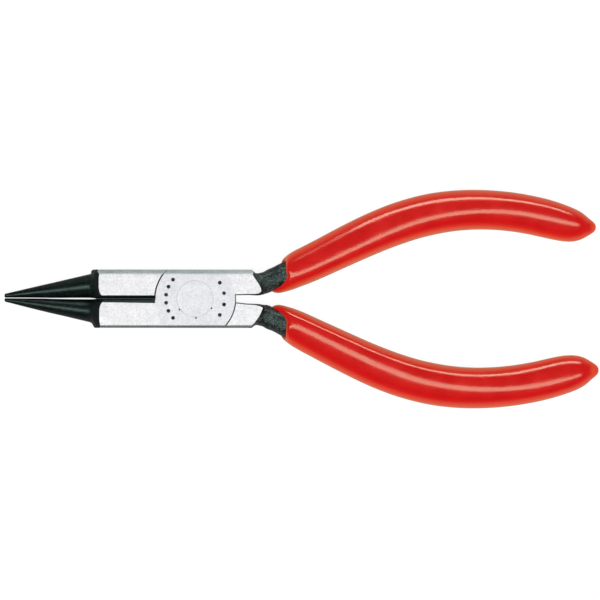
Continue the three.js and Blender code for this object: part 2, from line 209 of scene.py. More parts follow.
def loft_object(name, rows, start, end, slots=(), face_slot=0):
    """rows: array (n, sides, 3). Closed with a fan to a pole at each end."""
    rows = np.asarray(rows, float)
    n, m, _ = rows.shape
    verts = np.vstack([rows.reshape(-1, 3), [start], [end]])
    faces = []
    for i in range(n - 1):
        for j in range(m):
            k = (j + 1) % m
            faces.append((i * m + j, i * m + k, (i + 1) * m + k, (i + 1) * m + j))
    for j in range(m):
        k = (j + 1) % m
        faces.append((k, j, n * m))
        faces.append(((n - 1) * m + j, (n - 1) * m + k, n * m + 1))
    vol = 0.0
    for f in faces:
        for t in range(1, len(f) - 1):
            vol += np.dot(verts[f[0]], np.cross(verts[f[t]], verts[f[t + 1]]))
    if vol < 0:
        faces = [tuple(reversed(f)) for f in faces]
    return new_object(name, verts, faces, slots, [face_slot] * len(faces))


def prism_object(name, outline, lo, hi, axis="z", slots=(), side_slots=None, cap_slot=0):
    """A closed prism. outline is in XY for axis z and in YZ for axis x."""
    pts = [tuple(p) for p in outline]
    area = sum(a[0] * b[1] - b[0] * a[1] for a, b in zip(pts, pts[1:] + pts[:1]))
    side_slots = list(side_slots) if side_slots is not None else [cap_slot] * len(pts)
    if area < 0:
        pts = pts[::-1]
        side_slots = side_slots[::-1]
        side_slots = side_slots[1:] + side_slots[:1]
    n = len(pts)
    if axis == "z":
        verts = [(x, y, lo) for x, y in pts] + [(x, y, hi) for x, y in pts]
    else:
        verts = [(lo, y, z) for y, z in pts] + [(hi, y, z) for y, z in pts]
    faces = [tuple(range(n))[::-1], tuple(range(n, 2 * n))]
    slot = [cap_slot, cap_slot]
    for i in range(n):
        k = (i + 1) % n
        faces.append((i, k, n + k, n + i))
        slot.append(side_slots[i])
    return new_object(name, verts, faces, slots, slot)


def lathe_object(name, profile, sides=192, slots=(), ring_slots=None):
    """Profile: (r, z) pairs, first and last on the axis."""
    verts = [(0, 0, profile[0][1])]
    for r, z in profile[1:-1]:
        for j in range(sides):
            a = 2 * math.pi * j / sides
            verts.append((r * math.cos(a), r * math.sin(a), z))
    verts.append((0, 0, profile[-1][1]))
    n = len(profile) - 2
    last = len(verts) - 1
    faces, slot = [], []
    ring_slots = ring_slots or [0] * (len(profile) - 1)
    for j in range(sides):
        k = (j + 1) % sides
        faces.append((0, 1 + k, 1 + j))
        slot.append(ring_slots[0])
        for i in range(n - 1):
            a = 1 + i * sides
            b = a + sides
            faces.append((a + j, a + k, b + k, b + j))
            slot.append(ring_slots[i + 1])
        a = 1 + (n - 1) * sides
        faces.append((a + j, a + k, last))
        slot.append(ring_slots[-1])
    if profile[0][1] > profile[-1][1]:
        faces = [tuple(reversed(f)) for f in faces]
    return new_object(name, verts, faces, slots, slot)


def boolean(target, tool, operation, keep_tool=False):
    mod = target.modifiers.new("cut", "BOOLEAN")
    mod.operation = operation
    mod.object = tool
    mod.solver = "MANIFOLD"
    dg = bpy.context.evaluated_depsgraph_get()
    mesh = bpy.data.meshes.new_from_object(target.evaluated_get(dg))
    target.modifiers.clear()
    if len(mesh.polygons) == 0:
        raise RuntimeError(f"the {operation} of {target.name} with {tool.name} is empty")
    old = target.data
    target.data = mesh
    bpy.data.meshes.remove(old)
    if not keep_tool:
        data = tool.data
        bpy.data.objects.remove(tool)
        bpy.data.meshes.remove(data)
    return target


def fillet_outline(points, radii, steps=4):
    """Rounds each corner of a closed outline; returns points and the index of the edge each new side belongs to (-1 on a rounding)."""
    n = len(points)
    out, edge = [], []
    for i in range(n):
        p0, p1, p2 = (np.array(points[(i + k) % n], float) for k in (-1, 0, 1))
        r = radii[i]
        u = (p0 - p1) / np.linalg.norm(p0 - p1)
        v = (p2 - p1) / np.linalg.norm(p2 - p1)
        half = math.acos(np.clip(np.dot(u, v), -1, 1)) / 2
        d = r / math.tan(half)
        a, b = p1 + u * d, p1 + v * d
        centre = p1 + (u + v) / np.linalg.norm(u + v) * (r / math.sin(half))
        a0 = math.atan2(*(a - centre)[::-1])
        a1 = math.atan2(*(b - centre)[::-1])
        sweep = (a1 - a0 + math.pi) % (2 * math.pi) - math.pi
        for k in range(steps + 1):
            t = a0 + sweep * k / steps
            out.append(tuple(centre + r * np.array([math.cos(t), math.sin(t)])))
            edge.append(-1 if k < steps else i)
    return out, edge


def to_metres(obj, flip=False):
    """From millimetres about the mid-plane to the row frame. flip turns it half a turn about the long axis."""
    m = Matrix.Translation(MID) @ Matrix.Scale(MM, 4)
    if flip:
        m = m @ Matrix.Rotation(math.pi, 4, "X")
    obj.data.transform(m)
    obj.data.update()


def smooth(obj, degrees):
    obj.data.polygons.foreach_set("use_smooth", [True] * len(obj.data.polygons))
    obj.data.set_sharp_from_angle(angle=math.radians(degrees))


# ------------------------------------------------------------------ materials

class Nodes:
    """A short way to build a node tree."""

    def __init__(self, name):
        self.mat = bpy.data.materials.new(name)
        self.mat.use_nodes = True
        self.tree = self.mat.node_tree
        self.tree.nodes.clear()
        self.out = self.tree.nodes.new("ShaderNodeOutputMaterial")
        self.bsdf = self.tree.nodes.new("ShaderNodeBsdfPrincipled")
        self.link(self.bsdf.outputs[0], self.out.inputs[0])
        where = self.tree.nodes.new("ShaderNodeTexCoord")
        self.coord, self.normal = where.outputs["Object"], where.outputs["Normal"]

    def link(self, a, b):
        self.tree.links.new(a, b)

    def put(self, node, key, value):
        if isinstance(value, bpy.types.NodeSocket):
            self.link(value, node.inputs[key])
        else:
            node.inputs[key].default_value = value

    def mm(self, scale=(1, 1, 1), shift=(0, 0, 0), rotate=(0, 0, 0), source=None):
        """Object coordinates in millimetres, times scale."""
        n = self.tree.nodes.new("ShaderNodeMapping")
        self.link(source or self.coord, n.inputs[0])
        n.inputs["Location"].default_value = shift
        n.inputs["Rotation"].default_value = rotate
        n.inputs["Scale"].default_value = tuple(1000 * s for s in scale)
        return n.outputs[0]

    def noise(self, vector, scale=1.0, detail=3.0, rough=0.5, distortion=0.0):
        n = self.tree.nodes.new("ShaderNodeTexNoise")
        self.link(vector, n.inputs["Vector"])
        n.inputs["Scale"].default_value = scale
        n.inputs["Detail"].default_value = detail
        n.inputs["Roughness"].default_value = rough
        n.inputs["Distortion"].default_value = distortion
        return n.outputs["Fac"]

    def voronoi(self, vector, scale=1.0):
        n = self.tree.nodes.new("ShaderNodeTexVoronoi")
        self.link(vector, n.inputs["Vector"])
        n.inputs["Scale"].default_value = scale
        return n.outputs["Distance"]

    def remap(self, value, a0, a1, b0, b1, smooth=False):
        n = self.tree.nodes.new("ShaderNodeMapRange")
        n.interpolation_type = "SMOOTHSTEP" if smooth else "LINEAR"
        self.put(n, "Value", value)
        n.inputs["From Min"].default_value = a0
        n.inputs["From Max"].default_value = a1
        n.inputs["To Min"].default_value = b0
        n.inputs["To Max"].default_value = b1
        return n.outputs[0]

    def math(self, op, a, b):
        n = self.tree.nodes.new("ShaderNodeMath")
        n.operation = op
        self.put(n, 0, a)
        self.put(n, 1, b)
        return n.outputs[0]

    def mix(self, fac, a, b):
        n = self.tree.nodes.new("ShaderNodeMix")
        n.data_type = "RGBA"
        self.put(n, "Factor", fac)
        self.put(n, 6, a if isinstance(a, bpy.types.NodeSocket) else (*a, 1))
        self.put(n, 7, b if isinstance(b, bpy.types.NodeSocket) else (*b, 1))
        return n.outputs[2]

    def split(self, vector):
        n = self.tree.nodes.new("ShaderNodeSeparateXYZ")
        self.link(vector, n.inputs[0])
        return n.outputs

    def bump(self, height, distance_mm, strength=1.0, normal=None):
        n = self.tree.nodes.new("ShaderNodeBump")
        n.inputs["Strength"].default_value = strength
        n.inputs["Distance"].default_value = distance_mm * MM
        self.link(height, n.inputs["Height"])
        if normal is not None:
            self.link(normal, n.inputs["Normal"])
        return n.outputs[0]

    def set(self, **values):
        for key, value in values.items():
            self.put(self.bsdf, key.replace("_", " "), value)
        return self.mat


def ground_steel(name, tone=(0.741, 0.742, 0.756), along=(0.12, 5.0, 5.0), rough=(0.44, 0.54), seed=0.0, contrast=1.5, metallic=0.55):
    """Surface-ground bright steel: fine parallel scratches, faint mottling, a few dark pits."""
    g = Nodes(name)
    scratch = g.noise(g.mm(along, (seed, seed * 2, 0)), 1.0, 6.0, 0.7)
    fine = g.noise(g.mm(tuple(4 * a for a in along), (seed, 0, 3)), 1.0, 3.0, 0.6)
    mottle = g.noise(g.mm((0.5, 0.5, 0.5), (seed, 7, 0)), 1.0, 4.0, 0.6)
    grain = g.noise(g.mm((3.4, 3.4, 3.4), (0, seed, 1)), 1.0, 2.0, 0.6)
    pits = g.noise(g.mm((2.1, 2.1, 2.1), (4, seed, 8)), 1.0, 2.0, 0.5)
    k = contrast
    light = tuple(min(1, c * (1 + 0.05 * k)) for c in tone)
    dark = tuple(c * (1 - 0.07 * k) for c in tone)
    base = g.mix(g.remap(mottle, 0.32, 0.68, 0, 1), dark, light)
    # the discs were lapped in another direction: a touch darker and bluer than the plates
    x, y, _ = g.split(g.mm())
    disc = g.math("ADD", g.math("MULTIPLY", x, x), g.math("MULTIPLY", y, y))
    base = g.mix(g.remap(disc, 78.0, 80.5, 1.0, 0), base, g.mix(g.remap(mottle, 0.32, 0.68, 0, 1), *(tuple(c * f for c, f in zip(t, (0.893, 0.902, 0.921))) for t in (dark, light))))
    base = g.mix(g.remap(grain, 0.44, 0.66, 0, 0.6), base, tuple(c * (1 - 0.24 * min(k, 2.0)) for c in tone))
    base = g.mix(g.remap(scratch, 0.42, 0.66, 0, 0.13 * k), base, tuple(c * 0.6 for c in tone))
    base = g.mix(g.remap(pits, 0.70, 0.76, 0, 0.6), base, tuple(c * 0.35 for c in tone))
    height = g.math("ADD", g.math("ADD", scratch, g.math("MULTIPLY", fine, 0.5)), g.math("MULTIPLY", grain, 0.6))
    return g.set(
        Base_Color=base, Metallic=metallic,
        Roughness=g.remap(g.math("ADD", mottle, scratch), 0.7, 1.3, rough[0], rough[1]),
        Normal=g.bump(height, 0.012, 0.35),
    )


def black_oxide(name, grain=1.0, cone=False):
    """Black-finished forging: dark green-black, slightly glossy, grainy, with grey grains on its high spots: partly
    wear, partly a painted sparkle.
    """
    g = Nodes(name)
    lumps = g.noise(g.mm((1.3, 1.3, 1.3)), 1.0, 4.0, 0.6)
    pits = g.noise(g.mm((2.9, 2.9, 2.9), (2, 5, 1)), 1.0, 3.0, 0.65)
    patch = g.noise(g.mm((0.40, 0.40, 0.40)), 1.0, 3.0, 0.5)
    base = g.mix(g.remap(patch, 0.35, 0.65, 0, 1), (0.0003, 0.0012, 0.0012), (0.0008, 0.0026, 0.0024))
    # grey grains painted into the colour, in patches: partly scraped wear on the handled necks, partly a painted
    # sparkle of their grainy surface
    x = g.split(g.mm())[0]
    where = g.remap(x, 5.0, 12.0, 0.10, 1.0) if not cone else 0.08
    amount = g.math("MULTIPLY", g.remap(pits, 0.50, 0.66, 0, 1.0), g.remap(patch, 0.40, 0.60, 0.3, 1.1))
    base = g.mix(g.math("MULTIPLY", amount, where), base, (0.162, 0.174, 0.167))
    height = g.math("ADD", lumps, g.math("MULTIPLY", pits, 1.1))
    if cone:
        turned = g.noise(g.mm((7.0, 0.5, 0.5)), 1.0, 3.0, 0.6)
        height = g.math("ADD", g.math("MULTIPLY", height, 0.6), g.math("MULTIPLY", turned, 0.8))
    return g.set(
        Base_Color=base, Metallic=0.0, IOR=1.5, Specular_Tint=(0.66, 1.0, 0.9, 1.0),
        Roughness=g.remap(pits, 0.3, 0.7, *((0.27, 0.37) if cone else (0.33, 0.46))),
        Normal=g.bump(height, 0.12 * grain, 0.7),
    )


def dipped_pvc(name):
    """Glossy red dip coating: slight flow ripples, thin and paler at the drip nib."""
    g = Nodes(name)
    flow = g.noise(g.mm((0.10, 0.35, 0.35)), 1.0, 3.0, 0.5)
    cloud = g.noise(g.mm((0.25, 0.25, 0.25), (3, 1, 5)), 1.0, 4.0, 0.55)
    peel = g.noise(g.mm((1.1, 1.1, 1.1)), 1.0, 2.0, 0.5)
    fine = g.noise(g.mm((3.0, 3.0, 3.0), (1, 2, 3)), 1.0, 2.0, 0.6)
    base = g.mix(g.remap(cloud, 0.3, 0.7, 0, 1), (0.57, 0.0045, 0.0060), (0.66, 0.0068, 0.0080))
    x = g.split(g.mm())[0]
    base = g.mix(g.remap(x, 85.9, 87.1, 0, 0.8, True), base, (0.78, 0.10, 0.035))
    # painted rim light and reflection: where the coating turns away from the view and towards its sides, its colour is
    # painted brighter red and then orange, standing in for lit rims reflecting the white surround
    weight = g.tree.nodes.new("ShaderNodeLayerWeight")
    weight.inputs["Blend"].default_value = 0.5
    upright = g.math("SUBTRACT", 1.0, g.math("ABSOLUTE", g.split(g.normal)[2], 0.0))
    turned = g.math("MINIMUM", weight.outputs["Facing"], upright)
    # painted rim light: brighter red where the view grazes the sides
    base = g.mix(g.remap(turned, 0.10, 0.45, 0, 1), base, (0.80, 0.011, 0.0085))
    # painted reflection: orange at the outermost rims
    base = g.mix(g.remap(turned, 0.22, 0.85, 0, 1), base, (1.0, 0.15, 0.05))
    height = g.math("ADD", g.math("ADD", flow, g.math("MULTIPLY", peel, 0.16)), g.math("MULTIPLY", fine, 0.3))
    return g.set(
        Base_Color=base, Metallic=0.0, IOR=1.53,
        Roughness=g.remap(cloud, 0.3, 0.7, 0.15, 0.22), Specular_Tint=(0.9, 1.0, 0.7, 1.0),
        Coat_Weight=0.1, Coat_Roughness=0.1, Coat_IOR=1.5,
        Sheen_Weight=0.25, Sheen_Roughness=0.35, Sheen_Tint=(1.0, 0.6, 0.14, 1.0),
        Normal=g.bump(height, 0.05, 0.35),
    )


STEEL = ground_steel("ground_steel")
# painted shade: the chamfers get a darker, greener copy of the ground steel, standing in for the darker surround they
# reflect
EDGE = ground_steel("ground_edge_painted_shade", (0.458, 0.518, 0.499), (0.15, 2.0, 2.0), (0.5, 0.65), 11.0, 3.0, 0.9)
BLACK = black_oxide("black_oxide")
CONE = black_oxide("black_oxide_cone", 0.5, True)
RIVET = ground_steel("rivet_steel", (0.745, 0.754, 0.769), (2.0, 1.4, 2.0), (0.44, 0.54), 5.0)
PVC = dipped_pvc("dipped_pvc")
SLOTS = [STEEL, EDGE, BLACK, CONE]
S_STEEL, S_SHADED_EDGE, S_BLACK, S_CONE = range(4)


# ------------------------------------------------------------------ forged halves

def jaw_and_plate(half):
    """The raw forging on the jaw side: cone, flared root and plate, thicker than the finished head."""
    outer = pchip(*zip(*CONE_OUTER[half]))
    inner = pchip(*zip(*SLIT))
    rows = []
    r0 = float(outer(TIP_X + 0.42) - inner(TIP_X + 0.42)) / 2
    for k in range(1, 8):
        a = math.pi / 2 * k / 7
        x = TIP_X + 0.40 * (1 - math.cos(a))
        c = float(outer(x) + inner(x)) / 2
        r = r0 * (0.35 + 0.65 * math.sin(a))
        rows.append((x, c + r, c - r, r, 2.0))
    for x in np.linspace(TIP_X + 0.6, -24.5, 34):
        o, i = float(outer(x)), float(inner(x))
        rows.append((x, o, i, (o - i) / 2, 2.0))
    # the root swells into the plate; the rear half's swells a little sooner on its upper side
    r = float(outer(-24.4) - inner(-24.4)) / 2
    e = -0.22 if half == "rear" else -0.10
    first = float(outer(-24.4))
    out_f = pchip(*zip((-24.4, first), (-24.0, first + 0.095), (-23.45, first + 0.225), (-22.96, first + 0.36), (-22.74, first + 0.5),
                       (-22.52, first + 0.74), (-22.3, 6.05), (-22.1, 6.34), (-21.9, 6.53), (-21.5, 6.72), (-21, 6.8), (-18, 6.8)))
    in_f = pchip(*zip((-24.4, float(inner(-24.4))), (-23.3, 0.145), (-22.6, 0.12), (-22.2, 0.09), (-21.9, 0.05), (-21.65, SEAM), (-18, SEAM)))
    hz_f = pchip(*zip((-24.4, r), (-23.85, r + 0.07), (-23.3, 2.54), (-22.75, 2.78), (-22.4, 3.06), (-22.0 + e, 3.36), (-21.7 + e, 3.68),
                      (-21.4 + e, 3.98), (-21.1 + e, 4.24), (-20.9 + e, 4.4), (-20.6 + e, 4.6), (-20.2 + e, 4.8), (-19.8 + e, 4.9), (-18, 4.9)))
    pw_f = pchip(*zip((-24.4, 2.0), (-23.75, 2.0), (-23.3, 2.05), (-22.75, 2.25), (-22.35, 2.7), (-22.0, 3.2), (-21.7, 3.6),
                      (-21.4, 3.9), (-21.1, 4.2), (-20.8, 4.7), (-20.4, 6.0), (-20.0, 8.5), (-18, 9.0)))
    f = (out_f, in_f, hz_f, pw_f)
    for x in list(np.linspace(-24.35, -19.8, 40)) + [-19, -17, -14, -11, -8, -5, -2.5, 0]:
        rows.append((x, *(float(g(x)) for g in f)))
    sides = 128
    ang = np.arange(sides) / sides * 2 * np.pi
    pts = []
    for x, o, i, hz, p in rows:
        dy, dz = superellipse(ang, (o - i) / 2, hz, p)
        # towards the slot the swelling reaches full height a little later
        t = np.clip(-dy / ((o - i) / 2), 0, 1) ** 3 * np.clip(np.abs(dz) / hz, 0, 1) ** 3
        late = (0.38 if half == "rear" else 0.72) * min(1, max(0, (x + 22.6) / 0.8)) * min(1, max(0, (-18.5 - x) / 1.0))
        pts.append(np.stack([x + late * t, -(o + i) / 2 - dy, dz], 1))
    pts = np.array(pts)
    head, last = rows[0], rows[-1]
    start = (head[0] - 0.02, -(head[1] + head[2]) / 2, 0)
    end = (last[0], -(last[1] + last[2]) / 2, 0)
    obj = loft_object("raw_jaw", pts, start, end, SLOTS, S_BLACK)
    cone = [S_CONE if p.center.x < -23.0 else S_BLACK for p in obj.data.polygons]
    obj.data.polygons.foreach_set("material_index", np.array(cone, np.int32))
    return obj


NECK_STATIONS = [
    # centre x, y, heading, half width outside, half width inside, half thickness, section power
    (0.0, 3.7, 0, 3.3, 3.2, 4.9, 9), (6.0, 3.7, 0, 3.3, 3.0, 4.9, 9), (9.0, 3.65, 2, 3.3, 2.86, 4.9, 8.5),
    (11.0, 3.7, 8, 3.2, 2.7, 4.9, 8), (12.5, 3.7, 20, 2.95, 2.72, 4.82, 7.5), (13.6, 3.75, 27, 2.92, 2.72, 4.53, 6.5),
    (14.0, 3.72, 24, 2.27, 2.55, 4.1, 4.2), (14.6, 3.78, 20, 2.1, 2.45, 3.74, 3.4), (15.4, 3.92, 19, 2.17, 2.42, 3.58, 3.0),
    (16.4, 4.2, 20, 2.4, 2.4, 3.51, 2.8),
]


# small differences between the two necks: the front one is a little slimmer outside and fuller inside,
# (station x, change outside, change inside); and how far each plate's end is drawn back, by distance from the centre line
NECK_CHANGE = {
    "front": {11.0: (0, 0.2), 12.5: (0, 0.4), 13.6: (0, 0.3), 14.0: (-0.1, 0.25), 14.6: (-0.16, 0.2), 15.4: (-0.16, 0.12), 16.4: (-0.13, 0.05)},
    "rear": {14.0: (0, 0.08), 14.6: (0, 0.1), 15.4: (0, 0.08), 16.4: (0, 0.06)},
}
PLATE_END = {
    "front": [(0, 0), (3.2, 0), (3.7, -0.07), (4.14, -0.11), (4.57, -0.22), (5.0, -0.27), (5.9, 0), (9, 0)],
    "rear": [(0, 0.35), (4.2, 0.35), (4.84, 0.17), (5.3, 0.07), (5.9, 0), (9, 0)],
}


def neck_and_tang(half):
    stations = [list(s) for s in NECK_STATIONS]
    for s in stations:
        more = NECK_CHANGE[half].get(s[0], (0, 0))
        s[3] += more[0]
        s[4] += more[1]
    for x in (17.85, 19.65, 21.0, 22.5, 26, 30, 35, 40, 45, 50, 55, 60, 65, 70, 74, 77, 79, 81, 82.5, 83.4, 84.0):
        y, slope = handle_y(x)
        w = float(tang_w(x))
        stations.append([x, float(y), math.degrees(math.atan(slope)), w, w, float(tang_z(x)), 2.65 if x < 21 else 2.5])
    st = np.array(stations, float)
    idx = np.arange(len(st))
    fs = [pchip(idx, st[:, k]) for k in range(7)]
    # centre line and heading are smooth through the stations
    steps = []
    for i in range(len(st) - 1):
        per = 4 if st[i, 0] < 9 else 9 if st[i, 0] < 21 else 5
        steps += [i + k / per for k in range(per)]
    steps = np.array(steps + [len(st) - 1.0])
    sides = 128
    ang = np.arange(sides) / sides * 2 * np.pi
    pts = []
    for t in steps:
        x, y, head, wo, wi, hz, p = (float(f(t)) for f in fs)
        a, b = superellipse(ang, 1.0, hz, p)
        a = np.where(a > 0, a * wo, a * wi)
        c, s = math.cos(math.radians(head)), math.sin(math.radians(head))
        pts.append(np.stack([x - s * a, y + c * a, b], 1))
    pts = np.array(pts)
    back = pchip(*zip(*PLATE_END[half]))
    x = pts[:, :, 0]
    hat = np.clip((x - 11.2) / 1.4, 0, 1) * np.clip((17.4 - x) / 2.4, 0, 1)
    pts[:, :, 0] = x + back(np.abs(pts[:, :, 1])) * hat * hat * (3 - 2 * hat)
    # hammered unevenness and a trimmed parting line on the bare neck
    flat = pts.reshape(-1, 3)
    near = (flat[:, 0] > 12.5) & (flat[:, 0] < 24)
    amount = np.zeros(len(flat))
    amount[near] = wobble(flat[near], 0.9, 3) * 0.035 + wobble(flat[near], 2.6, 8) * 0.016
    fade = np.clip((flat[:, 0] - 12.8) / 1.2, 0, 1)
    rows, m, _ = pts.shape
    centre = np.repeat(pts.mean(1), m, 0)
    out = flat - centre
    out /= np.maximum(np.linalg.norm(out, axis=1), 1e-6)[:, None]
    seam = 0.05 * np.exp(-((flat[:, 2] / 0.28) ** 2)) * np.clip((flat[:, 0] - 13.2) / 0.8, 0, 1) * (flat[:, 0] < 22)
    inside_mouth = np.clip((flat[:, 0] - 17.5) / 2.0, 0, 1)   # keep the seat under the coating's rim regular
    flat = flat + out * (amount * fade * (1 - inside_mouth) + seam * (1 - inside_mouth))[:, None]
    pts = flat.reshape(rows, m, 3)
    y_end, _ = handle_y(84.2)
    return loft_object("raw_neck", pts, (0, 3.7, 0), (84.25, float(y_end), 0), SLOTS, S_BLACK)


def grinding_ring():
    """Everything outside the ground bar, as one cutter."""
    w, e, n = HEAD_HALF_WIDTH, EDGE_WIDE, EDGE_NARROW
    corners = [(w, H - e), (w - e, H), (-w + n, H), (-w, H - n), (-w, -H + e), (-w + e, -H), (w - n, -H), (w, -H + n)]
    inner, edge = fillet_outline(corners, [0.35] * 8, 4)
    # sides between corner i and i+1: 0,2,4,6 run as chamfer, face, ...
    # the chamfer sides take the darker steel copy, a painted shade
    kinds = {0: S_SHADED_EDGE, 1: S_STEEL, 2: S_SHADED_EDGE, 3: S_STEEL, 4: S_SHADED_EDGE, 5: S_STEEL, 6: S_SHADED_EDGE, 7: S_STEEL}
    k = len(inner)
    outer = [(y * 3.0, z * 3.0) for y, z in inner]
    verts = []
    for x in (-60.0, 15.1):
        verts += [(x, y, z) for y, z in inner] + [(x, y, z) for y, z in outer]
    faces, slot = [], []
    for i in range(k):
        j = (i + 1) % k
        a, b, c, d = i, j, 2 * k + j, 2 * k + i
        faces.append((a, b, c, d))                      # inner wall
        slot.append(kinds.get(edge[i], S_STEEL))
        faces.append((k + j, k + i, 3 * k + i, 3 * k + j))
        slot.append(S_BLACK)
        faces.append((j, i, k + i, k + j))              # end at -60
        slot.append(S_BLACK)
        faces.append((2 * k + i, 2 * k + j, 3 * k + j, 3 * k + i))
        slot.append(S_BLACK)
    obj = new_object("grinding", verts, faces, SLOTS, slot)
    co = np.array([v.co for v in obj.data.vertices])
    vol = 0.0
    for p in obj.data.polygons:
        v = [co[q] for q in p.vertices]
        for t in range(1, len(v) - 1):
            vol += np.dot(v[0], np.cross(v[t], v[t + 1]))
    if vol < 0:
        obj.data.flip_normals()
    return obj


def dent(x, y, radius, depth, z=None):
    """A small spherical punch mark in the front face."""
    r = (radius ** 2 + depth ** 2) / (2 * depth)
    z = H if z is None else z
    rings, sides = 14, 28
    rows = []
    for i in range(1, rings):
        a = math.pi * i / rings
        b = np.arange(sides) / sides * 2 * np.pi
        rows.append(np.stack([
            x + r * math.sin(a) * np.cos(b), y + r * math.sin(a) * np.sin(b),
            np.full(sides, z - depth + r - r * math.cos(a))], 1))
    return loft_object("dent", rows, (x, y, z - depth), (x, y, z - depth + 2 * r), SLOTS, S_BLACK)


def forged_half(name, front):
    obj = jaw_and_plate("front" if front else "rear")
    obj.name = name
    boolean(obj, neck_and_tang("front" if front else "rear"), "UNION")
    # joint disc, with a small break on its rim
    disc = lathe_object("disc", [
        (0, LAP_GAP / 2), (DISC_R - 0.05, LAP_GAP / 2), (DISC_R, LAP_GAP / 2 + 0.05), (DISC_R, H - 0.1),
        (DISC_R - 0.6, H + 0.5), (0, H + 0.5),
    ], 256, SLOTS, [S_STEEL, S_BLACK, S_BLACK, S_BLACK, S_STEEL])
    disc.data.transform(Matrix.Translation((DISC_OFF, 0, 0)))
    boolean(obj, disc, "UNION")
    if not front:
        # a scrap of flash left at the outer corner of this jaw's root
        nub = dent(0, 0, 0.5, 0.5, 0)
        nub.data.transform(Matrix.Translation((-22.2, -5.73, 0.3)) @ Matrix.Diagonal((1.34, 1.26, 3.4, 1)))
        boolean(obj, nub, "UNION")
    boolean(obj, grinding_ring(), "DIFFERENCE")
    recess = lathe_object("recess", [
        (0, LAP_GAP / 2), (RECESS_R, LAP_GAP / 2), (RECESS_R, -(H - 0.11)), (RECESS_R + 1.11, -(H + 1.0)), (0, -(H + 1.0)),
    ], 256, SLOTS, [S_STEEL, S_BLACK, S_BLACK, S_BLACK])
    recess.data.transform(Matrix.Translation((RECESS_OFF, 0, 0)))
    boolean(obj, recess, "DIFFERENCE")
    for side in (1, -1):
        outline = [
            (-SEAM - GROOVE, side * H), (-SEAM - GROOVE - 0.5, side * (H + 0.5)), (1.0, side * (H + 0.5)),
            (1.0, side * (H - GROOVE)), (-SEAM + 0.01, side * (H - GROOVE)),
        ]
        groove = prism_object("groove", outline, -23.0, DISC_OFF - DISC_R, "x", SLOTS, None, S_BLACK)
        if front:
            # this half's groove widens towards the disc
            for v in groove.data.vertices:
                if v.co.y < -0.5:
                    v.co.y -= 0.015 * max(0.0, v.co.x + 23.0)
        boolean(obj, groove, "DIFFERENCE")
    hole = lathe_object("hole", [
        (0, -H - 1), (RIVET_R + 0.915, -H - 1), (RIVET_R + 0.01, -H + 0.02), (RIVET_R + 0.01, H - 0.02), (RIVET_R + 0.915, H + 1), (0, H + 1),
    ], 192, SLOTS, [S_BLACK] * 5)
    boolean(obj, hole, "DIFFERENCE")
    if front:
        # punched dots on the joint: a plain pattern, no lettering
        for r, angles in ((6.35, (139, 155.5, 172, 188, 204.5, 221)), (6.45, (-33, -11, 11, 33))):
            for a in angles:
                x, y = r * math.cos(math.radians(a)), r * math.sin(math.radians(a))
                boolean(obj, dent(x, y, 0.42, 0.2), "DIFFERENCE")
        # three small staking marks beside the rivet
        for x, y, s in ((-3.33, -2.33, 0.2), (0.24, -4.17, 0.2), (3.6, -2.05, 0.2)):
            boolean(obj, dent(x, y, s, 0.1), "DIFFERENCE")
    return obj


def bend(obj, sign):
    f = pchip(*zip(*BEND))
    for v in obj.data.vertices:
        v.co.y += sign * float(f(min(max(v.co.x, -41.8), 89.0)))
        if sign > 0 and v.co.x > 77:        # the front grip's tail hangs in a little
            v.co.y -= 0.14 * min(1.0, (v.co.x - 77) / 6) ** 2 * (3 - 2 * min(1.0, (v.co.x - 77) / 6))


front_forging = forged_half("front_half_forging", True)
rear_forging = forged_half("rear_half_forging", False)
bend(front_forging, 1)
bend(rear_forging, -1)
to_metres(front_forging)
to_metres(rear_forging, flip=True)
smooth(front_forging, 28)
smooth(rear_forging, 28)

joint_rivet = lathe_object("joint_rivet", [
    (0, -H), (RIVET_R - 0.025, -H), (RIVET_R, -H + 0.025), (RIVET_R, H - 0.025), (RIVET_R - 0.025, H), (0, H),
], 192, [RIVET])
to_metres(joint_rivet)
smooth(joint_rivet, 28)


# ------------------------------------------------------------------ dipped grips

